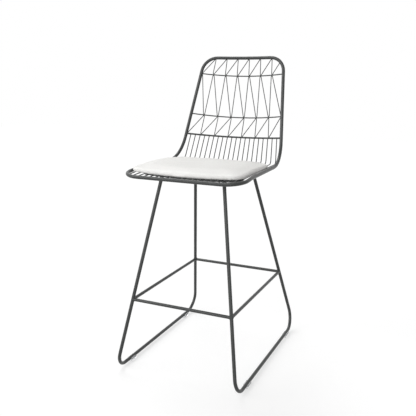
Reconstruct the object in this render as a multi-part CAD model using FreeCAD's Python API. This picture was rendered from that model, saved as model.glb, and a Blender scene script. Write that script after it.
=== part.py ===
import FreeCAD, Part
import math
import os

# Wire counter stool: a bent rod ring with a saw-tooth wire back and a wire seat,
# carried by two sled legs with four stretchers, clear glides and a loose seat pad.
# Millimetres, +Z up, the sitter faces -Y, the floor is Z = 0.

# Rods and wires
ring_diameter = 11.0
leg_diameter = 11.0
bearer_diameter = 14.0
stretcher_diameter = 10.0
lower_rod_diameter = 6.0
middle_rod_diameter = 4.0
upper_rod_diameter = 4.0
lattice_wire_diameter = 2.5
seat_wire_diameter = 3.0
weld_gap = 0.1

# Rods and wires have this many flat sides, and their bends are chords that leave the true arc
# by this much at most, so that the many bends stay light
rod_sides = 20
wire_sides = 10
bend_sag = 0.25

# Seat part of the ring, measured on the rod's axis between sharp corners, at the height of its sides
seat_height = 658.0
seat_front_y = -256.0
seat_rear_y = 136.0
seat_front_width = 402.0
seat_rear_width = 383.0
front_corner_radius = 62.0
seat_bend_radius = 110.0

# Dish of the seat: the front rail and the middle seat wires lie this much below the sides,
# which slope down to the rail over the last length
seat_dish = 8.0
front_slope_length = 90.0
front_slope_radius = 250.0

# Back part of the ring
back_recline = 19.6
back_rise = 357.0
top_width = 303.0
top_corner_radius = 56.0
top_rail_turn = 4.0

# Cross rods of the back: share of the way up the back, and how far they bow to the rear
lower_rod_share = 0.239
middle_rod_share = 0.44
upper_rod_share = 0.84
lower_rod_bow = 22.0
middle_rod_bow = 37.0
upper_rod_bow = 27.0

# Saw-tooth lattice: columns across the back, the small bends, and each row's sideways shift
lattice_columns = 7
lattice_bend_radius = 2.5
lattice_bend_mitres = 4
top_shift = -2.0
upper_shift = 0.0
middle_shift = -5.5
lower_shift = 3.5

# Seat wires
seat_wire_count = 20
seat_wire_bend_radius = 18.0
seat_wire_rear_bow = 15.0

# Bearers under the seat wires, measured in from the ends and sides of the seat
front_bearer_inset = 102.0
rear_bearer_inset = 47.5
bearer_end_inset = 31.0

# Sled legs
sled_length = 574.0
sled_spacing = 422.0
leg_top_spacing = 213.0
front_foot_radius = 44.0
rear_foot_radius = 52.0

# Stretchers
stretcher_height = 243.0

# Glides
glide_base = 6.0
glide_length = 32.0
glide_wall = 2.5
glide_sole_width = 10.0
glide_lip = 1.5
glide_chamfer = 1.0
glide_clearance = 0.05
front_glide_inset = 92.0
rear_glide_inset = 82.0

# Seat pad, measured in from the ends and sides of the seat
pad_front_inset = 30.0
pad_rear_inset = 84.0
pad_front_side_inset = 11.5
pad_rear_side_inset = 2.0
pad_front_corner_radius = 45.0
pad_rear_corner_radius = 50.0
pad_front_bow = 20.0
pad_side_bow = 2.0
pad_rear_bow = 2.0
pad_edge_height = 16.0
pad_edge_inset = 8.5
pad_side_steps = 6
pad_crown = 5.0
pad_crown_steps = 3
pad_clearance = 0.3
cover_thickness = 1.2
foam_clearance = 0.2

vector = FreeCAD.Vector

ring_radius = ring_diameter / 2
leg_radius = leg_diameter / 2
recline = math.radians(back_recline)
back_up = vector(0, math.sin(recline), math.cos(recline))
back_rearward = vector(0, math.cos(recline), -math.sin(recline))
back_length = back_rise / math.cos(recline)
runner_height = glide_base + leg_radius
front_rail_height = seat_height - seat_dish
slope_start_y = seat_front_y + front_slope_length
front_bearer_y = seat_front_y + front_bearer_inset
rear_bearer_y = seat_rear_y - rear_bearer_inset
front_glide_y = -sled_length / 2 + front_glide_inset
rear_glide_y = sled_length / 2 - rear_glide_inset
pad_front_y = seat_front_y + pad_front_inset
pad_rear_y = seat_rear_y - pad_rear_inset
pad_front_width = seat_front_width - 2 * pad_front_side_inset
pad_rear_width = seat_rear_width - 2 * pad_rear_side_inset


# Points along the arc through three points, close enough for their chords to follow it.
def arc_points(start, middle, end):
    bend = Part.Arc(start, middle, end).toShape()
    chord_turn = 2 * math.acos(1 - bend_sag / bend.Curve.Radius)
    turn = bend.LastParameter - bend.FirstParameter
    return bend.discretize(math.ceil(turn / chord_turn) + 1)


# Start, middle and end of the arc that rounds a corner.
def corner_arc(before, corner, after, radius):
    to_before = (before - corner).normalize()
    to_after = (after - corner).normalize()
    half_angle = to_before.getAngle(to_after) / 2
    reach = radius / math.tan(half_angle)
    inward = (to_before + to_after).normalize()
    middle = corner + inward * (radius / math.sin(half_angle) - radius)
    return corner + to_before * reach, middle, corner + to_after * reach


# A path through the points, with every inner corner rounded to its radius.
def bent_path(points, radii):
    path = [points[0]]
    for i, radius in enumerate(radii, start=1):
        path += arc_points(*corner_arc(points[i - 1], points[i], points[i + 1], radius))
    return path + [points[-1]]


# A solid skinned over a row of flat sections, each with the same number of corners.
def skinned(sections):
    outlines = [sections[0], sections[-1]]
    for near, far in zip(sections, sections[1:]):
        outlines += [[near[k - 1], near[k], far[k], far[k - 1]] for k in range(len(near))]
    faces = [Part.Face(Part.makePolygon(outline + outline[:1])) for outline in outlines]
    shell = Part.makeShell(faces)
    shell.sewShape()
    return Part.Solid(shell)


# A rod swept along a path, mitred where the path turns.
def rod(path, diameter, sides):
    headings = [(end - start).normalize() for start, end in zip(path, path[1:])]
    side_on = headings[0].cross(vector(0, 0, 1))
    if side_on.Length < 0.5:
        side_on = headings[0].cross(vector(0, 1, 0))
    across = side_on.normalize() * (diameter / 2)
    turn = FreeCAD.Rotation(headings[0], 360 / sides)
    section = []
    for side in range(sides):
        section.append(path[0] + across)
        across = turn.multVec(across)
    sections = [section]
    for i, heading in enumerate(headings):
        mitre = heading + headings[min(i + 1, len(headings) - 1)]
        end = path[i + 1]
        section = [point + heading * ((end - point).dot(mitre) / heading.dot(mitre)) for point in section]
        sections.append(section)
    return skinned(sections)


# The piece that stays when a rod is coped to what it is welded to.
def coped(shape, *others):
    for other in others:
        shape = shape.cut(other)
    return max(shape.Solids, key=lambda solid: solid.Volume)


# A point of the back: across, up along the recline, and how far behind the ring's plane.
def back_point(across, up, behind):
    foot = vector(across, seat_rear_y, seat_height)
    return foot + back_up * up + back_rearward * behind


def back_half_width(up):
    return (seat_rear_width + (top_width - seat_rear_width) * up / back_length) / 2


def seat_half_width(y):
    share = (y - seat_front_y) / (seat_rear_y - seat_front_y)
    return (seat_front_width + (seat_rear_width - seat_front_width) * share) / 2


# One level of the back: a cross rod, or the top rail, that the lattice wires are welded to.
class Level:
    def __init__(self, share, bow, diameter, shift):
        self.up = share * back_length
        self.half_width = back_half_width(self.up)
        self.bow = bow
        self.radius = diameter / 2
        self.shift = shift

    def behind(self, across):
        return self.bow * (1 - (across / self.half_width) ** 2)

    def bend_across(self, column):
        return self.half_width * (2 * column / lattice_columns - 1) + self.shift

    def point(self, across):
        return back_point(across, self.up, self.behind(across))


# Half of the ring, from the middle of the top rail to the middle of the front rail.
def ring_half():
    turn = math.radians(top_rail_turn)
    rail_heading = vector(-math.cos(turn), 0, 0) + back_rearward * math.sin(turn)
    top_corner = back_point(top_width / 2, back_length, 0)
    rear_corner = vector(seat_rear_width / 2, seat_rear_y, seat_height)
    slope_start = vector(seat_half_width(slope_start_y), slope_start_y, seat_height)
    front_corner = vector(seat_front_width / 2, seat_front_y, front_rail_height)
    front_middle = vector(0, seat_front_y, front_rail_height)
    rail_corner = corner_arc(top_corner + rail_heading, top_corner, rear_corner, top_corner_radius)
    rail_end = rail_corner[0]
    rail_radius = rail_end.x / math.sin(turn)
    rail_centre = rail_end - vector(rail_end.x, 0, 0) - back_rearward * (rail_radius * math.cos(turn))
    rail_middle = rail_centre + back_rearward * rail_radius
    rail_quarter = rail_centre + back_rearward * (rail_radius * math.cos(turn / 2))
    rail_quarter = rail_quarter + vector(rail_radius * math.sin(turn / 2), 0, 0)
    path = arc_points(rail_middle, rail_quarter, rail_end)[:-1] + arc_points(*rail_corner)[:-1]
    path += bent_path(
        [rail_corner[2], rear_corner, slope_start, front_corner, front_middle],
        [seat_bend_radius, front_slope_radius, front_corner_radius])
    rail_bow = (rail_middle - top_corner).dot(back_rearward)
    return rod(path, ring_diameter, rod_sides), rail_bow


def back_rod(level, ring):
    left = level.point(-level.half_width)
    right = level.point(level.half_width)
    path = arc_points(left, level.point(0), right)
    return coped(rod(path, 2 * level.radius, wire_sides), ring)


# Heading of the straight run that leaves one bend and meets the next, in the plane of the back.
# A bend turns right (1) or left (-1); the two ends of a wire don't turn (0).
def run_heading(start, start_turn, end, end_turn):
    across = end[0] - start[0]
    up = end[1] - start[1]
    swing = math.asin((start_turn - end_turn) * lattice_bend_radius / math.hypot(across, up))
    return math.atan2(up, across) - swing


# Where the two straight runs on either side of a bend would cross.
def run_crossing(centre, turn, heading_in, heading_out):
    half_turn = (heading_in - heading_out) / 2
    bisector = (heading_in + heading_out) / 2 + math.pi / 2
    distance = turn * lattice_bend_radius / math.cos(half_turn)
    return centre[0] + distance * math.cos(bisector), centre[1] + distance * math.sin(bisector)


# One saw-tooth wire: from the ring beside its first level, to and fro between the two levels,
# to the ring beside its second level. Every bend rests against its level's rod.
def lattice_wire(first, second, ring, *rods):
    rise = math.copysign(1, second.up - first.up)
    wire_radius = lattice_wire_diameter / 2

    def bend(level, column, side):
        offset = level.radius + weld_gap + wire_radius + lattice_bend_radius
        return level.bend_across(column), level.up + side * offset

    def ring_end(level, hand, side):
        up = level.up + side * (level.radius + weld_gap + wire_radius)
        return hand * (level.half_width - ring_radius), up

    centres = [ring_end(first, -1, rise)]
    turns = [0]
    levels = [first]
    for column in range(1, lattice_columns):
        centres += [bend(second, column, -rise), bend(first, column, rise)]
        turns += [rise, -rise]
        levels += [second, first]
    centres.append(ring_end(second, 1, -rise))
    turns.append(0)
    levels.append(second)

    headings = [
        run_heading(centres[i], turns[i], centres[i + 1], turns[i + 1])
        for i in range(len(centres) - 1)
    ]
    corners = [(centres[0], levels[0])]
    for i in range(1, len(centres) - 1):
        swing = (headings[i] - headings[i - 1]) / lattice_bend_mitres
        for mitre in range(lattice_bend_mitres):
            heading = headings[i - 1] + swing * mitre
            corners.append((run_crossing(centres[i], turns[i], heading, heading + swing), levels[i]))
    corners.append((centres[-1], levels[-1]))
    points = [back_point(across, up, level.behind(across)) for (across, up), level in corners]

    # both ends run on into the ring, and are coped to it and to the rods beside them
    points[0] = points[0] + (points[0] - points[1]).normalize() * ring_radius
    points[-1] = points[-1] + (points[-1] - points[-2]).normalize() * ring_radius
    return coped(rod(points, lattice_wire_diameter, wire_sides), ring, *rods)


# A seat wire's place across the seat, from -1 at the left side to 1 at the right.
def wire_share(number):
    return 2 * number / (seat_wire_count + 1) - 1


# How high a seat wire runs at a share of the way from the middle to the side.
def wire_height(share):
    return front_rail_height + seat_dish * share ** 2


# A seat wire: down from the lower rod, round the bend and forward to the front of the ring.
def seat_wire(number, lower_level, lower_rod, ring):
    share = wire_share(number)
    height = wire_height(share)
    bow = seat_wire_rear_bow * (1 - share ** 2)
    top = lower_level.point(share * lower_level.half_width)
    bend = back_point(share * seat_rear_width / 2, (height - seat_height) / back_up.z, 0) + vector(0, bow, 0)
    slope_start = vector(share * seat_half_width(slope_start_y), slope_start_y, height)
    front = vector(share * seat_front_width / 2, seat_front_y, front_rail_height)
    path = bent_path([top, bend, slope_start], [seat_wire_bend_radius]) + [front]
    return coped(rod(path, seat_wire_diameter, wire_sides), ring, lower_rod)


# A point on a bearer's axis, below the seat wires and the chords of the bearer's bow.
def bearer_point(across, y):
    under = seat_wire_diameter / 2 + weld_gap + bend_sag + bearer_diameter / 2
    return vector(across, y, wire_height(across / seat_half_width(y)) - under)


# A bearer: a rod under the seat wires, bowed with the dish, that stops short of the ring.
def bearer(y):
    reach = seat_half_width(y) - bearer_end_inset
    path = arc_points(bearer_point(-reach, y), bearer_point(0, y), bearer_point(reach, y))
    return rod(path, bearer_diameter, rod_sides)


# Height of the bearers' axis where the legs meet it
bearer_height = bearer_point(leg_top_spacing / 2, front_bearer_y).z


# A point in the slanted plane of one sled leg: along the runner, and up from it.
def sled_point(hand, y, up):
    lean = vector((leg_top_spacing - sled_spacing) / 2, 0, bearer_height - runner_height).normalize()
    return vector(hand * (sled_spacing / 2 + lean.x * up), y, runner_height + lean.z * up)


# How far up the slanted plane a height lies.
def sled_up(height):
    slant = math.hypot((leg_top_spacing - sled_spacing) / 2, bearer_height - runner_height)
    return slant * (height - runner_height) / (bearer_height - runner_height)


# Angle, in the sled's plane, where a leg leaves its foot bend.
def leg_angle(centre_y, radius, top_y, hand):
    along = top_y - centre_y
    up = sled_up(bearer_height) - radius
    return math.atan2(up, along) - hand * math.acos(radius / math.hypot(along, up))


front_foot_y = -sled_length / 2 + leg_radius + front_foot_radius
rear_foot_y = sled_length / 2 - leg_radius - rear_foot_radius
front_leg_angle = leg_angle(front_foot_y, front_foot_radius, front_bearer_y, -1)
rear_leg_angle = leg_angle(rear_foot_y, rear_foot_radius, rear_bearer_y, 1)


# A point of a foot bend at an angle in the sled's plane.
def foot_point(hand, centre_y, radius, angle):
    return sled_point(hand, centre_y + radius * math.cos(angle), radius + radius * math.sin(angle))


# A sled leg: front leg, runner and rear leg in one bent rod.
def sled_leg(hand, bearers):
    down_front = 1.5 * math.pi
    down_rear = -0.5 * math.pi
    front_top = sled_point(hand, front_bearer_y, sled_up(bearer_height))
    rear_top = sled_point(hand, rear_bearer_y, sled_up(bearer_height))
    front_bend = [
        foot_point(hand, front_foot_y, front_foot_radius, angle)
        for angle in (front_leg_angle, (front_leg_angle + down_front) / 2, down_front)
    ]
    rear_bend = [
        foot_point(hand, rear_foot_y, rear_foot_radius, angle)
        for angle in (down_rear, (rear_leg_angle + down_rear) / 2, rear_leg_angle)
    ]
    path = [front_top] + arc_points(*front_bend) + arc_points(*rear_bend) + [rear_top]
    return coped(rod(path, leg_diameter, rod_sides), *bearers)


# Where a leg's axis passes a height.
def leg_point(hand, centre_y, radius, angle, top_y, height):
    foot = foot_point(hand, centre_y, radius, angle)
    top = sled_point(hand, top_y, sled_up(bearer_height))
    return foot + (top - foot) * ((height - foot.z) / (top.z - foot.z))


def front_leg_point(hand):
    return leg_point(
        hand, front_foot_y, front_foot_radius, front_leg_angle, front_bearer_y, stretcher_height)


def rear_leg_point(hand):
    return leg_point(
        hand, rear_foot_y, rear_foot_radius, rear_leg_angle, rear_bearer_y, stretcher_height)


def stretcher(start, end, *neighbours):
    return coped(rod([start, end], stretcher_diameter, rod_sides), *neighbours)


# A glide: a saddle that clips round the lower half of a runner, with a flat sole on the floor.
def glide(hand, y):
    half_width = leg_radius + glide_clearance + glide_wall
    lip = runner_height + glide_lip
    half_sole = glide_sole_width / 2
    half_outline = [(half_sole, 0), (half_width, glide_base), (half_width, lip)]
    outline = half_outline + [(-x, z) for x, z in reversed(half_outline)]
    section = Part.makePolygon([vector(x, 0, z) for x, z in outline + outline[:1]])
    block = Part.Face(section).extrude(vector(0, glide_length, 0))
    end_edges = [edge for edge in block.Edges if edge.BoundBox.YLength < weld_gap]
    block = block.makeChamfer(glide_chamfer, end_edges)
    channel = Part.makeCylinder(
        leg_radius + glide_clearance, glide_length, vector(0, 0, runner_height), vector(0, 1, 0))
    saddle = block.cut(channel)
    saddle.translate(vector(hand * sled_spacing / 2, y - glide_length / 2, 0))
    return saddle.Solids[0]


# Plan outline of the seat pad about its middle: bowed sides between rounded corners.
# A margin draws it in by that much.
def pad_outline(margin):
    half_depth = (pad_rear_y - pad_front_y) / 2 - margin
    front = pad_front_width / 2 - margin
    rear = pad_rear_width / 2 - margin
    corners = [
        vector(-front, -half_depth, 0), vector(front, -half_depth, 0),
        vector(rear, half_depth, 0), vector(-rear, half_depth, 0),
    ]
    front_radius = pad_front_corner_radius - margin
    rear_radius = pad_rear_corner_radius - margin
    radii = [front_radius, front_radius, rear_radius, rear_radius]
    bows = [pad_front_bow, pad_side_bow, pad_rear_bow, pad_side_bow]
    rounds = [
        corner_arc(corners[i - 1], corners[i], corners[(i + 1) % 4], radii[i])
        for i in range(4)
    ]
    outline = []
    for i in range(4):
        start = rounds[i][2]
        end = rounds[(i + 1) % 4][0]
        outward = (end - start).normalize().cross(vector(0, 0, 1))
        outline += arc_points(*rounds[i])
        outline += arc_points(start, (start + end) * 0.5 + outward * bows[i], end)[1:-1]
    return outline


# The seat pad's form: round edges drawn in above and below, under a low crown.
# A margin gives the same form drawn in by that much on every side.
def pad_form(margin):
    highest_wire = wire_height(wire_share(seat_wire_count))
    base = highest_wire + seat_wire_diameter / 2 + pad_clearance + margin
    middle = vector(0, (pad_front_y + pad_rear_y) / 2, base)
    edge = pad_edge_height - 2 * margin
    drawn_in = 2 * pad_edge_inset / pad_front_width
    rows = []
    for step in range(pad_side_steps + 1):
        angle = math.pi * (step / pad_side_steps - 0.5)
        rows.append((edge * (1 + math.sin(angle)) / 2, 1 - drawn_in * (1 - math.cos(angle))))
    for step in range(1, pad_crown_steps + 1):
        share = 1 - step / (pad_crown_steps + 1)
        rows.append((edge + pad_crown * (1 - share ** 2), share * (1 - drawn_in)))
    outline = pad_outline(margin)
    return skinned([
        [middle + point * share + vector(0, 0, height) for point in outline]
        for height, share in rows
    ])


nodes = {}

half_ring, rail_bow = ring_half()
ring = half_ring.fuse(half_ring.mirror(vector(0, 0, 0), vector(1, 0, 0))).removeSplitter().Solids[0]
nodes["seat_ring"] = ring

top_level = Level(1, rail_bow, ring_diameter, top_shift)
upper_level = Level(upper_rod_share, upper_rod_bow, upper_rod_diameter, upper_shift)
middle_level = Level(middle_rod_share, middle_rod_bow, middle_rod_diameter, middle_shift)
lower_level = Level(lower_rod_share, lower_rod_bow, lower_rod_diameter, lower_shift)

upper_rod = back_rod(upper_level, ring)
middle_rod = back_rod(middle_level, ring)
lower_rod = back_rod(lower_level, ring)
nodes["upper_back_rod"] = upper_rod
nodes["middle_back_rod"] = middle_rod
nodes["lower_back_rod"] = lower_rod

nodes["top_lattice_wire"] = lattice_wire(upper_level, top_level, ring, upper_rod)
nodes["middle_lattice_wire"] = lattice_wire(upper_level, middle_level, ring, upper_rod, middle_rod)
nodes["lower_lattice_wire"] = lattice_wire(lower_level, middle_level, ring, lower_rod, middle_rod)

for number in range(1, seat_wire_count + 1):
    nodes[f"seat_wire_{number:02d}"] = seat_wire(number, lower_level, lower_rod, ring)

bearers = [bearer(front_bearer_y), bearer(rear_bearer_y)]
nodes["front_bearer"], nodes["rear_bearer"] = bearers

hands = {"left": -1, "right": 1}
sleds = {side: sled_leg(hand, bearers) for side, hand in hands.items()}
footrest = stretcher(front_leg_point(-1), front_leg_point(1), *sleds.values())
rear_stretcher = stretcher(rear_leg_point(-1), rear_leg_point(1), *sleds.values())
nodes["front_footrest"] = footrest
nodes["rear_stretcher"] = rear_stretcher

for side, hand in hands.items():
    nodes[f"{side}_sled_leg"] = sleds[side]
    nodes[f"{side}_stretcher"] = stretcher(
        front_leg_point(hand), rear_leg_point(hand), sleds[side], footrest, rear_stretcher)
    nodes[f"{side}_front_glide"] = glide(hand, front_glide_y)
    nodes[f"{side}_rear_glide"] = glide(hand, rear_glide_y)

nodes["seat_pad_cover"] = pad_form(0).cut(pad_form(cover_thickness))
nodes["seat_pad_foam"] = pad_form(cover_thickness + foam_clearance)

os.makedirs("parts", exist_ok=True)
for name, shape in nodes.items():
    shape.exportStep(f"parts/{name}.step")
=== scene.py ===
import math

import bmesh
import bpy
from mathutils import Matrix, Vector
from mathutils.bvhtree import BVHTree


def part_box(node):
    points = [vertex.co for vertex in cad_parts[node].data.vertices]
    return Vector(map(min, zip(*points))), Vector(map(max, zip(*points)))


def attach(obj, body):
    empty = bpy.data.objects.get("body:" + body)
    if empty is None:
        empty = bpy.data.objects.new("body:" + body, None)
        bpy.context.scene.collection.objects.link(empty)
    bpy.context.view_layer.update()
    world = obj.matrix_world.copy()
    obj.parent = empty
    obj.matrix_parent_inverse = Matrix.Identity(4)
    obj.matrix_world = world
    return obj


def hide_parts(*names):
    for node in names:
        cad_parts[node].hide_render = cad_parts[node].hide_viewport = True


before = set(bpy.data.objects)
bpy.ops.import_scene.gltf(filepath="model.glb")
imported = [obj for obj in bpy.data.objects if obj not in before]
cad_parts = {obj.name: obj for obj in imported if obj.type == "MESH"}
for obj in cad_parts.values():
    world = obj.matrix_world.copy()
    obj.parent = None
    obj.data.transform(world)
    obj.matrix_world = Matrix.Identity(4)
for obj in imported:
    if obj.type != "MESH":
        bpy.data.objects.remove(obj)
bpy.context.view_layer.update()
scene = bpy.context.scene
print("stool frame loaded:", len(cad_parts), "nodes")


# small helpers for shader trees

def addNode(tree, kind, **values):
    node = tree.nodes.new(kind)
    for name, value in values.items():
        setattr(node, name, value)
    return node


def setInputs(node, values):
    for name, value in values.items():
        node.inputs[name].default_value = value


def newMaterial(name):
    material = bpy.data.materials.new(name)
    material.use_nodes = True
    tree = material.node_tree
    return material, tree, tree.nodes["Principled BSDF"]


def newGroup(name, inputs, outputs):
    group = bpy.data.node_groups.new(name, "ShaderNodeTree")
    for label, value in inputs.items():
        socket = group.interface.new_socket(label, in_out="INPUT", socket_type="NodeSocketFloat")
        socket.default_value = value
    for label in outputs:
        group.interface.new_socket(label, in_out="OUTPUT", socket_type="NodeSocketFloat")
    return group, addNode(group, "NodeGroupInput"), addNode(group, "NodeGroupOutput")


def placeGroup(tree, group, **values):
    node = addNode(tree, "ShaderNodeGroup", node_tree=group)
    setInputs(node, values)
    return node


def mixColours(tree, factor, dark, light):
    mix = addNode(tree, "ShaderNodeMix", data_type="RGBA")
    mix.inputs["A"].default_value = (*dark, 1)
    mix.inputs["B"].default_value = (*light, 1)
    tree.links.new(factor, mix.inputs["Factor"])
    return mix.outputs["Result"]


def mapRange(tree, value, low, high):
    span = addNode(tree, "ShaderNodeMapRange")
    setInputs(span, {"To Min": low, "To Max": high})
    tree.links.new(value, span.inputs["Value"])
    return span.outputs["Result"]


def addBump(tree, height, strength, distance):
    bump = addNode(tree, "ShaderNodeBump")
    setInputs(bump, {"Strength": strength, "Distance": distance})
    tree.links.new(height, bump.inputs["Height"])
    return bump.outputs["Normal"]


def linkFinish(tree, shader, colour, roughness, normal):
    tree.links.new(colour, shader.inputs["Base Color"])
    tree.links.new(roughness, shader.inputs["Roughness"])
    tree.links.new(normal, shader.inputs["Normal"])


# grain that every finish shares: a fine tooth and a broad drift, both 0 to 1
grainFacts = {
    "fine": 900.0,
    "fineDetail": 3.0,
    "broad": 12.0,
    "broadDetail": 4.0,
    "noiseLow": 0.3,
    "noiseHigh": 0.7,
}


def makeGrainGroup():
    scales = {"Fine": grainFacts["fine"], "Broad": grainFacts["broad"]}
    group, given, result = newGroup("surfaceGrain", scales, ["Tooth", "Drift"])
    place = addNode(group, "ShaderNodeTexCoord")
    layers = (
        ("Fine", "Tooth", grainFacts["fineDetail"]),
        ("Broad", "Drift", grainFacts["broadDetail"]),
    )
    for label, output, detail in layers:
        noise = addNode(group, "ShaderNodeTexNoise")
        noise.inputs["Detail"].default_value = detail
        group.links.new(place.outputs["Object"], noise.inputs["Vector"])
        group.links.new(given.outputs[label], noise.inputs["Scale"])
        spread = addNode(group, "ShaderNodeMapRange")
        setInputs(spread, {"From Min": grainFacts["noiseLow"], "From Max": grainFacts["noiseHigh"]})
        group.links.new(noise.outputs["Fac"], spread.inputs["Value"])
        group.links.new(spread.outputs["Result"], result.inputs[output])
    return group


grainGroup = makeGrainGroup()


# frame finish: satin charcoal powder coat with a fine tooth
coat = {
    "dark": (0.029, 0.0312, 0.0305),
    "light": (0.043, 0.0458, 0.0447),
    "fine": 1500.0,
    "broad": 9.0,
    "roughness": (0.26, 0.36),
    "specular": 0.4,
    "bump": 0.3,
    "bumpDepth": 0.00006,
}


def makeCharcoalCoat():
    material, tree, shader = newMaterial("charcoalCoat")
    grain = placeGroup(tree, grainGroup, Fine=coat["fine"], Broad=coat["broad"])
    colour = mixColours(tree, grain.outputs["Drift"], coat["dark"], coat["light"])
    roughness = mapRange(tree, grain.outputs["Tooth"], *coat["roughness"])
    normal = addBump(tree, grain.outputs["Tooth"], coat["bump"], coat["bumpDepth"])
    shader.inputs["Specular IOR Level"].default_value = coat["specular"]
    linkFinish(tree, shader, colour, roughness, normal)
    return material


charcoalCoat = makeCharcoalCoat()


# clear moulded plastic of the glides
clearPlastic = {
    "low": (0.86, 0.87, 0.90),
    "high": (0.95, 0.955, 0.97),
    "fine": 420.0,
    "broad": 60.0,
    "roughness": (0.08, 0.22),
    "transmission": 0.85,
    "ior": 1.46,
    "bump": 0.25,
    "bumpDepth": 0.0001,
}


def makeClearPlastic():
    material, tree, shader = newMaterial("clearGlide")
    grain = placeGroup(tree, grainGroup, Fine=clearPlastic["fine"], Broad=clearPlastic["broad"])
    colour = mixColours(tree, grain.outputs["Drift"], clearPlastic["low"], clearPlastic["high"])
    roughness = mapRange(tree, grain.outputs["Drift"], *clearPlastic["roughness"])
    normal = addBump(tree, grain.outputs["Tooth"], clearPlastic["bump"], clearPlastic["bumpDepth"])
    setInputs(shader, {"Transmission Weight": clearPlastic["transmission"], "IOR": clearPlastic["ior"]})
    linkFinish(tree, shader, colour, roughness, normal)
    return material


clearGlide = makeClearPlastic()


# pad cover: off-white leathercloth with a fine pebble and a random drift in tone; the creases between
# pebbles carry painted shade
leather = {
    "paintedCreaseShade": (0.76, 0.752, 0.73),
    "pebble": (0.875, 0.87, 0.85),
    "cells": 620.0,
    "fine": 1100.0,
    "broad": 7.0,
    "roughness": (0.62, 0.44),
    "domeWidth": 0.22,
    "domeShade": (0.15, 0.65),
    "driftShare": 0.35,
    "toothShare": 0.3,
    "bump": 0.35,
    "bumpDepth": 0.00018,
}


def makePadLeather():
    material, tree, shader = newMaterial("padLeather")
    grain = placeGroup(tree, grainGroup, Fine=leather["fine"], Broad=leather["broad"])
    place = addNode(tree, "ShaderNodeTexCoord")
    pebbles = addNode(tree, "ShaderNodeTexVoronoi", feature="DISTANCE_TO_EDGE")
    pebbles.inputs["Scale"].default_value = leather["cells"]
    tree.links.new(place.outputs["Object"], pebbles.inputs["Vector"])
    domes = addNode(tree, "ShaderNodeMapRange", interpolation_type="SMOOTHSTEP")
    setInputs(domes, {"From Max": leather["domeWidth"]})
    tree.links.new(pebbles.outputs["Distance"], domes.inputs["Value"])
    # colour factor: random drift plus painted shade that darkens the creases between pebbles and leaves
    # their tops light
    driftAndPaintedShade = addNode(tree, "ShaderNodeMath", operation="MULTIPLY_ADD")
    driftAndPaintedShade.inputs[1].default_value = leather["driftShare"]
    shade = mapRange(tree, domes.outputs["Result"], *leather["domeShade"])
    tree.links.new(grain.outputs["Drift"], driftAndPaintedShade.inputs[0])
    tree.links.new(shade, driftAndPaintedShade.inputs[2])
    colour = mixColours(tree, driftAndPaintedShade.outputs["Value"], leather["paintedCreaseShade"], leather["pebble"])
    roughness = mapRange(tree, domes.outputs["Result"], *leather["roughness"])
    relief = addNode(tree, "ShaderNodeMath", operation="MULTIPLY_ADD")
    relief.inputs[1].default_value = leather["toothShare"]
    tree.links.new(grain.outputs["Tooth"], relief.inputs[0])
    tree.links.new(domes.outputs["Result"], relief.inputs[2])
    normal = addBump(tree, relief.outputs["Value"], leather["bump"], leather["bumpDepth"])
    linkFinish(tree, shader, colour, roughness, normal)
    return material


padLeather = makePadLeather()
print("finishes ready: coat, clear plastic, leathercloth")


# pieces; corners nearer than this distance are one corner
joinDistance = 0.00001


def addPiece(name, work, material, bodyName):
    for face in work.faces:
        face.smooth = True
    mesh = bpy.data.meshes.new(name)
    work.to_mesh(mesh)
    work.free()
    mesh.materials.append(material)
    piece = bpy.data.objects.new(name, mesh)
    scene.collection.objects.link(piece)
    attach(piece, bodyName)
    return piece


def nodeMesh(nodeName):
    work = bmesh.new()
    work.from_mesh(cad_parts[nodeName].data)
    bmesh.ops.remove_doubles(work, verts=work.verts, dist=joinDistance)
    return work


def shadeEvenly(piece):
    evenShade = piece.modifiers.new("evenShade", "WEIGHTED_NORMAL")
    evenShade.keep_sharp = True


# rods and wires: the flat-sided rods of the frame, shaded round under the thickness of the coat
rods = {
    "slot": "frame",
    "body": "frame",
    "sharp": math.radians(50),
    "coatThickness": 0.0002,
    "mostSpread": 1.3,
}
sides = ("left", "right")
latticeWires = ["top_lattice_wire", "middle_lattice_wire", "lower_lattice_wire"]
backRods = ["upper_back_rod", "middle_back_rod", "lower_back_rod"]
seatWires = sorted(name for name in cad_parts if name.startswith("seat_wire"))
bearers = ["front_bearer", "rear_bearer"]
sledLegs = [f"{side}_sled_leg" for side in sides]
crossStretchers = ["front_footrest", "rear_stretcher"]
sideStretchers = [f"{side}_stretcher" for side in sides]


def roundRod(nodeName):
    work = nodeMesh(nodeName)
    work.normal_update()
    moves = []
    for vert in work.verts:
        spread = min(vert.calc_shell_factor(), rods["mostSpread"])
        moves.append(vert.normal * spread * rods["coatThickness"])
    for vert, move in zip(work.verts, moves):
        vert.co += move
    piece = addPiece(f"{nodeName}_coated", work, charcoalCoat, rods["body"])
    piece.data.set_sharp_from_angle(angle=rods["sharp"])
    shadeEvenly(piece)
    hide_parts(nodeName)


allRods = ["seat_ring"] + backRods + latticeWires + seatWires + bearers + sledLegs
allRods += crossStretchers + sideStretchers
for rodName in allRods:
    roundRod(rodName)
print("rods and wires rounded:", len(allRods))


# weld beads: a rippled bead laid round every coped end
weld = {
    "touch": 0.00006,
    "rimSpan": 0.03,
    "fewestRim": 4,
    "openGap": math.radians(100),
    "rodBead": 0.0017,
    "wireBead": 0.0006,
    "near": 0.0003,
    "spotSpan": 0.006,
    "spotReach": 0.0016,
    "spotCorners": 8,
    "around": 8,
    "ripple": 0.10,
    "pitch": 3.2,
    "stepShare": 0.8,
    "fewestSteps": 6,
    "leastSpan": 1e-9,
    "endStart": 0.6,
    "endSpan": 0.2,
    "endRound": 0.5,
}


# the corners of a rod that lie on its neighbour, one list for each place
def touching(rod, neighbour, gap, span):
    places = []
    for vert in rod.verts:
        if neighbour.find_nearest(vert.co)[3] > gap:
            continue
        for place in places:
            if (place[0].co - vert.co).length < span:
                place.append(vert)
                break
        else:
            places.append([vert])
    return places


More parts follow.
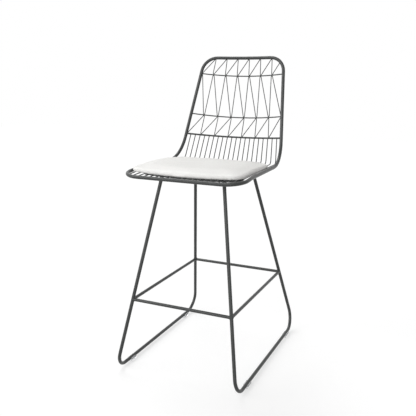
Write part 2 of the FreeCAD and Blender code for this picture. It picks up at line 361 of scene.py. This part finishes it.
# the rim's points in order round the rod, and whether they close
def orderedRim(rim):
    inside = set(rim)
    inward = Vector()
    for vert in rim:
        for edge in vert.link_edges:
            other = edge.other_vert(vert)
            if other not in inside:
                inward += (other.co - vert.co).normalized()
    toAxis = inward.to_track_quat("Z", "Y").to_matrix().inverted()
    centre = sum((vert.co for vert in rim), Vector()) / len(rim)
    turned = []
    for vert in rim:
        flat = toAxis @ (vert.co - centre)
        turned.append((math.atan2(flat.y, flat.x), vert.co.copy()))
    turned.sort(key=lambda item: item[0])
    gaps = []
    for i, (angle, point) in enumerate(turned):
        ahead = turned[(i + 1) % len(turned)][0]
        gaps.append((ahead - angle) % (2 * math.pi))
    widest = max(range(len(gaps)), key=lambda i: gaps[i])
    points = [point for angle, point in turned[widest + 1:] + turned[:widest + 1]]
    return points, gaps[widest] < weld["openGap"]


# the same line in even steps
def evenSteps(points, step):
    lengths = [0.0]
    for start, end in zip(points, points[1:]):
        lengths.append(lengths[-1] + (end - start).length)
    count = max(weld["fewestSteps"], round(lengths[-1] / step))
    stepped = []
    i = 0
    for k in range(count + 1):
        reach = lengths[-1] * k / count
        while i < len(points) - 2 and lengths[i + 1] < reach:
            i += 1
        span = max(lengths[i + 1] - lengths[i], weld["leastSpan"])
        stepped.append(points[i].lerp(points[i + 1], (reach - lengths[i]) / span))
    return stepped


def layBead(work, points, closed, radius):
    step = radius * weld["stepShare"]
    if closed:
        points = evenSteps(points + points[:1], step)[:-1]
    else:
        points = evenSteps(points, step)
    count = len(points)
    centre = sum(points, Vector()) / count
    rings = []
    for i, point in enumerate(points):
        before = points[i - 1] if closed or i else point
        after = points[(i + 1) % count] if closed or i < count - 1 else point
        along = (after - before).normalized()
        outward = (point - centre) - along * (point - centre).dot(along)
        outward.normalize()
        beside = along.cross(outward)
        swell = 1 + weld["ripple"] * math.sin(weld["pitch"] * i)
        if not closed:
            share = (i + weld["endStart"]) / (count + weld["endSpan"])
            swell *= math.sin(math.pi * share) ** weld["endRound"]
        ring = []
        for k in range(weld["around"]):
            angle = 2 * math.pi * k / weld["around"]
            reach = outward * math.cos(angle) + beside * math.sin(angle)
            ring.append(work.verts.new(point + reach * radius * swell))
        rings.append(ring)
    pairs = list(zip(rings, rings[1:]))
    if closed:
        pairs.append((rings[-1], rings[0]))
    else:
        work.faces.new(reversed(rings[0]))
        work.faces.new(rings[-1])
    for near, far in pairs:
        for k in range(weld["around"]):
            work.faces.new((near[k - 1], near[k], far[k], far[k - 1]))


def nodeTree(nodeName):
    work = nodeMesh(nodeName)
    tree = BVHTree.FromBMesh(work)
    work.free()
    return tree


def finishWelds(name, work, beads):
    bmesh.ops.recalc_face_normals(work, faces=work.faces)
    addPiece(name, work, charcoalCoat, rods["body"])
    print(name, "beads:", beads)


def weldPiece(name, rodNames, neighbourNames, radius):
    work = bmesh.new()
    trees = [nodeTree(neighbourName) for neighbourName in neighbourNames]
    beads = 0
    for rodName in rodNames:
        rod = nodeMesh(rodName)
        for tree in trees:
            for rim in touching(rod, tree, weld["touch"], weld["rimSpan"]):
                if len(rim) < weld["fewestRim"]:
                    continue
                points, closed = orderedRim(rim)
                layBead(work, points, closed, radius)
                beads += 1
        rod.free()
    finishWelds(name, work, beads)


weldPiece("stretcher_welds", crossStretchers + sideStretchers, sledLegs, weld["rodBead"])
weldPiece("leg_welds", sledLegs, bearers, weld["rodBead"])
weldPiece("back_rod_welds", backRods, ["seat_ring"], weld["wireBead"])
weldPiece("seat_wire_welds", seatWires, ["seat_ring", "lower_back_rod"], weld["wireBead"])
weldPiece("lattice_end_welds", latticeWires, ["seat_ring"] + backRods, weld["wireBead"])


# a small closed bead round the spot where two pieces touch
def spotBead(work, spot, normal):
    turn = normal.to_track_quat("Z", "Y")
    points = []
    for k in range(weld["spotCorners"]):
        angle = 2 * math.pi * k / weld["spotCorners"]
        corner = Vector((math.cos(angle), math.sin(angle), 0)) * weld["spotReach"]
        points.append(spot + turn @ corner)
    layBead(work, points, True, weld["wireBead"])


# the middle of a seat wire where it passes a place along the seat
def wireSpot(wireName, y):
    wire = nodeMesh(wireName)
    everything = wire.verts[:] + wire.edges[:] + wire.faces[:]
    cut = bmesh.ops.bisect_plane(wire, geom=everything, plane_co=(0, y, 0), plane_no=(0, 1, 0))
    points = [item.co.copy() for item in cut["geom_cut"] if isinstance(item, bmesh.types.BMVert)]
    wire.free()
    return sum(points, Vector()) / len(points)


# a spot weld where each seat wire lies on a bearer
def bearerWelds():
    work = bmesh.new()
    beads = 0
    for bearerName in bearers:
        low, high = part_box(bearerName)
        tree = nodeTree(bearerName)
        for wireName in seatWires:
            spot = wireSpot(wireName, (low.y + high.y) / 2)
            if low.x < spot.x < high.x:
                spotBead(work, tree.find_nearest(spot)[0], Vector((0, 0, 1)))
                beads += 1
    finishWelds("bearer_welds", work, beads)


# every bend of a lattice wire that rests against a cross rod or the top rail
def latticeBendWelds():
    work = bmesh.new()
    beads = 0
    trees = [nodeTree(nodeName) for nodeName in ["seat_ring"] + backRods]
    for wireName in latticeWires:
        wire = nodeMesh(wireName)
        for tree in trees:
            for place in touching(wire, tree, weld["near"], weld["spotSpan"]):
                nearest = [tree.find_nearest(vert.co) for vert in place]
                if min(found[3] for found in nearest) < weld["touch"]:
                    continue
                spot = sum((found[0] for found in nearest), Vector()) / len(nearest)
                normal = sum((found[1] for found in nearest), Vector()).normalized()
                spotBead(work, spot, normal)
                beads += 1
        wire.free()
    finishWelds("lattice_bend_welds", work, beads)


bearerWelds()
latticeBendWelds()


# clear glides: moulded edges on the saddles under the runners
glides = {
    "slot": "glide",
    "body": "frame",
    "edge": 0.0007,
    "edgeSteps": 3,
    "limit": math.radians(25),
    "flat": math.radians(1),
}


def mouldedGlide(nodeName):
    work = nodeMesh(nodeName)
    bmesh.ops.dissolve_limit(work, angle_limit=glides["flat"], verts=work.verts, edges=work.edges)
    piece = addPiece(f"{nodeName}_clear", work, clearGlide, glides["body"])
    soften = piece.modifiers.new("softEdges", "BEVEL")
    soften.width = glides["edge"]
    soften.segments = glides["edgeSteps"]
    soften.limit_method = "ANGLE"
    soften.angle_limit = glides["limit"]
    shadeEvenly(piece)
    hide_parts(nodeName)


for side in sides:
    for end in ("front", "rear"):
        mouldedGlide(f"{side}_{end}_glide")
print("glides moulded")


# seat pad: a soft skin blown up round the foam's form, with a full edge and a low crown;
# the front of its base droops where the wires slope down to the rail
pad = {
    "slot": "pad_cover",
    "body": "pad",
    "voxel": 0.0045,
    "spread": 0.0015,
    "sunk": 0.001,
    "edgeLift": 0.4,
    "held": 0.0085,
    "slopeLength": 0.08,
    "droop": 0.001,
    "lowFill": 0.03,
    "smoothing": 6,
    "smoothShare": 0.5,
    "roundLevels": 1,
    "calming": 24,
    "quality": 6,
    "skinMass": 0.3,
    "stretch": 12,
    "squeeze": 12,
    "shear": 6,
    "bending": 4,
    "pressure": 2.5,
    "frames": 20,
    "cap": 0.005,
    "fill": 0.7,
}


def smoothStep(share):
    share = min(max(share, 0.0), 1.0)
    return share * share * (3 - 2 * share)


def padStart():
    low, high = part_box("seat_pad_cover")
    work = nodeMesh("seat_pad_foam")
    middle = (low + high) / 2
    startLow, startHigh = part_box("seat_pad_foam")
    for vert in work.verts:
        shares = []
        for axis in (0, 1):
            half = (high[axis] - low[axis]) / 2 + pad["spread"]
            share = (vert.co[axis] - middle[axis]) / ((startHigh[axis] - startLow[axis]) / 2)
            vert.co[axis] = middle[axis] + share * half
            shares.append(abs(share))
        rise = (vert.co.z - startLow.z) / (startHigh.z - startLow.z) * (high.z - low.z - pad["sunk"])
        above = rise - pad["held"]
        if above > 0:
            rise += above * pad["edgeLift"] * max(shares) ** 2
        else:
            front = smoothStep((low.y + pad["slopeLength"] - vert.co.y) / pad["slopeLength"])
            depth = -above / pad["held"]
            rise -= pad["droop"] * front * depth
            for axis in (0, 1):
                vert.co[axis] += (vert.co[axis] - middle[axis]) * pad["lowFill"] * front * depth ** 2
        vert.co.z = low.z + rise
    return work, low.z


def remeshed(piece):
    voxels = piece.modifiers.new("voxels", "REMESH")
    voxels.mode = "VOXEL"
    voxels.voxel_size = pad["voxel"]
    graph = bpy.context.evaluated_depsgraph_get()
    mesh = bpy.data.meshes.new_from_object(piece.evaluated_get(graph))
    piece.modifiers.remove(voxels)
    piece.data = mesh


# the skin's moves, evened out with those of the points around, so that no creases are left
def calmed(mesh, moves):
    around = [[i] for i in range(len(moves))]
    for edge in mesh.edges:
        first, second = edge.vertices
        around[first].append(second)
        around[second].append(first)
    for step in range(pad["calming"]):
        moves = [sum((moves[i] for i in near), Vector()) / len(near) for near in around]
    return moves


def blowUp(piece, base):
    start = [vert.co.copy() for vert in piece.data.vertices]
    held = piece.vertex_groups.new(name="held")
    held.add([i for i, point in enumerate(start) if point.z < base + pad["held"]], 1.0, "REPLACE")
    cloth = piece.modifiers.new("skin", "CLOTH")
    settings = cloth.settings
    settings.quality = pad["quality"]
    settings.mass = pad["skinMass"]
    settings.tension_stiffness = pad["stretch"]
    settings.compression_stiffness = pad["squeeze"]
    settings.shear_stiffness = pad["shear"]
    settings.bending_stiffness = pad["bending"]
    settings.use_pressure = True
    settings.uniform_pressure_force = pad["pressure"]
    settings.effector_weights.gravity = 0
    settings.vertex_group_mass = held.name
    cloth.point_cache.frame_start = 1
    cloth.point_cache.frame_end = pad["frames"]
    for frameNumber in range(1, pad["frames"] + 1):
        scene.frame_set(frameNumber)
    graph = bpy.context.evaluated_depsgraph_get()
    blown = [vert.co.copy() for vert in piece.evaluated_get(graph).data.vertices]
    piece.modifiers.remove(cloth)
    scene.frame_set(1)
    moves = []
    for old, new in zip(start, blown):
        move = new - old
        if move.length > pad["cap"]:
            move = move.normalized() * pad["cap"]
        moves.append(move)
    moves = calmed(piece.data, moves)
    for vert, old, move in zip(piece.data.vertices, start, moves):
        vert.co = old + move
    lengths = [1000 * move.length for move in moves]
    print("pad skin blown up: mean move", round(sum(lengths) / len(lengths), 2),
          "mm, most", round(max(lengths), 2), "mm")


def makePad():
    work, base = padStart()
    piece = addPiece("seat_pad", work, padLeather, pad["body"])
    remeshed(piece)
    blowUp(piece, base)
    for polygon in piece.data.polygons:
        polygon.use_smooth = True
    relaxing = piece.modifiers.new("relaxing", "SMOOTH")
    relaxing.factor = pad["smoothShare"]
    relaxing.iterations = pad["smoothing"]
    rounding = piece.modifiers.new("rounding", "SUBSURF")
    rounding.levels = pad["roundLevels"]
    rounding.render_levels = pad["roundLevels"]
    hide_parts("seat_pad_cover", "seat_pad_foam")


makePad()


# studio: white floor and surround, soft lamps
studio = {
    "white": (1, 1, 1, 1),
    "floorSize": 14.0,
    "floorParts": 4,
    "floorRoughness": 0.9,
    "floorColour": (0.50, 0.50, 0.50, 1),
    "floorLift": 0.57,
    "worldStrength": 0.33,
}
# each lamp: turn about Z from the front, height, how wide and how strong it is
lamps = {
    "key": {
        "turn": math.radians(-50),
        "height": math.radians(25),
        "width": math.radians(40),
        "level": 0.42,
    },
    "front": {
        "turn": math.radians(5),
        "height": math.radians(22),
        "width": math.radians(60),
        "level": 0.36,
    },
    "back": {
        "turn": math.radians(-127),
        "height": math.radians(55),
        "width": math.radians(36),
        "level": 0.34,
    },
}


def lightPathMask(tree):
    path = addNode(tree, "ShaderNodeLightPath")
    total = path.outputs["Is Camera Ray"]
    for ray in ("Is Glossy Ray", "Is Transmission Ray"):
        add = addNode(tree, "ShaderNodeMath", operation="ADD", use_clamp=True)
        tree.links.new(total, add.inputs[0])
        tree.links.new(path.outputs[ray], add.inputs[1])
        total = add.outputs["Value"]
    return total


def makeWorld():
    world = bpy.data.worlds.new("whiteSurround")
    world.use_nodes = True
    scene.world = world
    tree = world.node_tree
    background = tree.nodes["Background"]
    background.inputs["Color"].default_value = studio["white"]
    strength = mapRange(tree, lightPathMask(tree), studio["worldStrength"], 1.0)
    tree.links.new(strength, background.inputs["Strength"])


def makeFloor():
    parts = studio["floorParts"]
    work = bmesh.new()
    bmesh.ops.create_grid(work, x_segments=parts, y_segments=parts, size=studio["floorSize"] / 2)
    mesh = bpy.data.meshes.new("floor")
    work.to_mesh(mesh)
    work.free()
    material, tree, shader = newMaterial("paleFloor")
    setInputs(shader, {
        "Base Color": studio["floorColour"],
        "Roughness": studio["floorRoughness"],
        "Specular IOR Level": 0.0,
        "Emission Color": studio["white"],
    })
    lift = mapRange(tree, lightPathMask(tree), 0.0, studio["floorLift"])
    tree.links.new(lift, shader.inputs["Emission Strength"])
    mesh.materials.append(material)
    floor = bpy.data.objects.new("floor", mesh)
    scene.collection.objects.link(floor)


def makeLamps():
    for name, facts in lamps.items():
        data = bpy.data.lights.new(name, "SUN")
        data.angle = facts["width"]
        data.energy = math.pi * facts["level"]
        lamp = bpy.data.objects.new(name, data)
        lamp.rotation_euler = (math.pi / 2 - facts["height"], 0, facts["turn"])
        scene.collection.objects.link(lamp)


makeWorld()
makeFloor()
makeLamps()


# camera at the photograph's place
cameraFacts = {
    "place": (0.785, -1.755, 0.9595),
    "yaw": 0.428,
    "pitch": -0.226,
    "roll": 0.005,
    "lens": 50.4,
    "sensor": 36,
    "shift": (-0.0007, -0.0024),
}


def makeCamera():
    data = bpy.data.cameras.new("photoCamera")
    data.sensor_width = cameraFacts["sensor"]
    data.lens = cameraFacts["lens"]
    data.shift_x, data.shift_y = cameraFacts["shift"]
    camera = bpy.data.objects.new("photoCamera", data)
    turn = Matrix.Rotation(cameraFacts["yaw"], 4, "Z")
    tilt = Matrix.Rotation(math.pi / 2 + cameraFacts["pitch"], 4, "X")
    roll = Matrix.Rotation(cameraFacts["roll"], 4, "Z")
    camera.matrix_world = Matrix.Translation(cameraFacts["place"]) @ turn @ tilt @ roll
    scene.collection.objects.link(camera)
    scene.camera = camera


makeCamera()
scene.view_settings.view_transform = "Standard"
print("studio and camera set")
